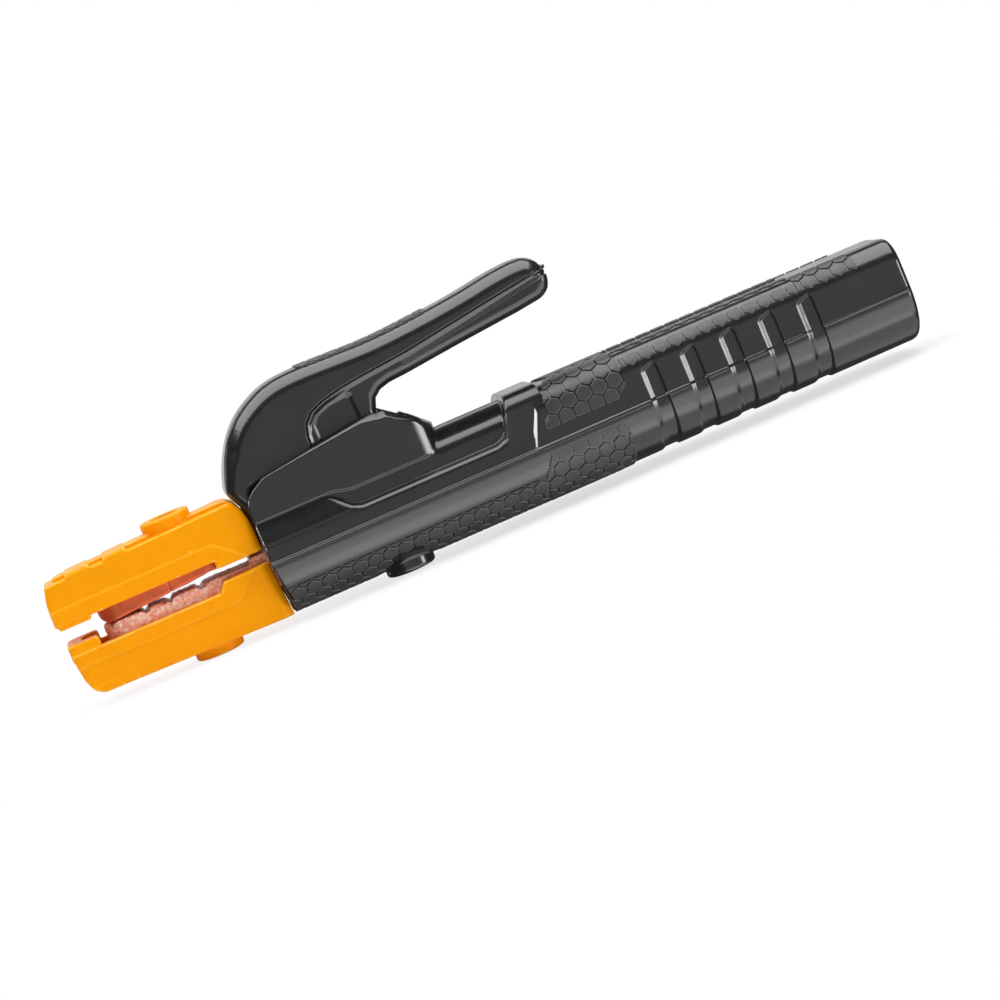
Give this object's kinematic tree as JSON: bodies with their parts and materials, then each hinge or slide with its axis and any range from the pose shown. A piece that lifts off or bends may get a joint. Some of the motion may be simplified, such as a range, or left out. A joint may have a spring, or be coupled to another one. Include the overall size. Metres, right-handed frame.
{
  "type": "welding electrode holder",
  "caption": "Tong-type welding electrode holder: black tubular grip with guard, yellow insulated copper jaws and a sprung squeeze lever that opens them.",
  "frame": {"origin": "centre of the cable entry in the grip's rear face", "axes": "+X along the grip, out of the cable entry towards the cable; -X towards the jaws; +Z the lever side"},
  "size_m": [0.2747, 0.036, 0.0739],
  "materials": {
    "black_nylon": "moulded glass-filled nylon, semi-gloss, with matt hexagon tiles on the grip patches",
    "yellow_insulator": "moulded heat-resistant plastic, satin, yellow-orange",
    "copper_alloy": "cast copper alloy, as cast with milled contact faces",
    "contact_copper": "smooth drawn copper, slightly darkened",
    "brass": "turned brass",
    "zinc_steel": "zinc-plated steel",
    "dark_steel": "blackened steel",
    "spring_steel": "drawn spring steel",
    "fibre": "brown insulating fibre"
  },
  "bodies": {
    "holder": {"grip": "black_nylon", "grip_screw": "zinc_steel", "lower_jaw_casting": "copper_alloy", "lower_jaw_insulator": "yellow_insulator", "lower_jaw_screw": "zinc_steel", "cable_socket": "brass", "socket_pin": "zinc_steel", "pivot_pin": "zinc_steel", "pivot_clips": "dark_steel", "pivot_washers": "brass", "spring": "spring_steel", "lower_spring_seat": "fibre"},
    "lever": {"lever_arm": "copper_alloy", "pivot_bush": "brass", "upper_contact": "contact_copper", "contact_rivets": "copper_alloy", "upper_jaw_insulator": "yellow_insulator", "upper_jaw_screw": "zinc_steel", "upper_spring_seat": "fibre", "lever_cover": "black_nylon", "lever_underside": "black_nylon", "lever_screws": "zinc_steel"},
    "front_clamp": {"front_clamp_screw": "dark_steel"},
    "rear_clamp": {"rear_clamp_screw": "dark_steel"}
  },
  "joints": [
    {"name": "lever_squeeze", "type": "hinge", "parent": "holder", "child": "lever", "pos_m": [-0.2, 0, 0.016], "axis": [0, 1, 0], "range_deg": [0, 12], "stiffness_Nm_per_rad": 8, "springref_deg": -10.89, "deforming": ["spring"]},
    {"name": "front_clamp_screw_travel", "type": "slide", "parent": "holder", "child": "front_clamp", "axis": [0, 0, -1], "range_m": [0, 0.005]},
    {"name": "rear_clamp_screw_travel", "type": "slide", "parent": "holder", "child": "rear_clamp", "axis": [0, 0, -1], "range_m": [0, 0.005]}
  ]
}
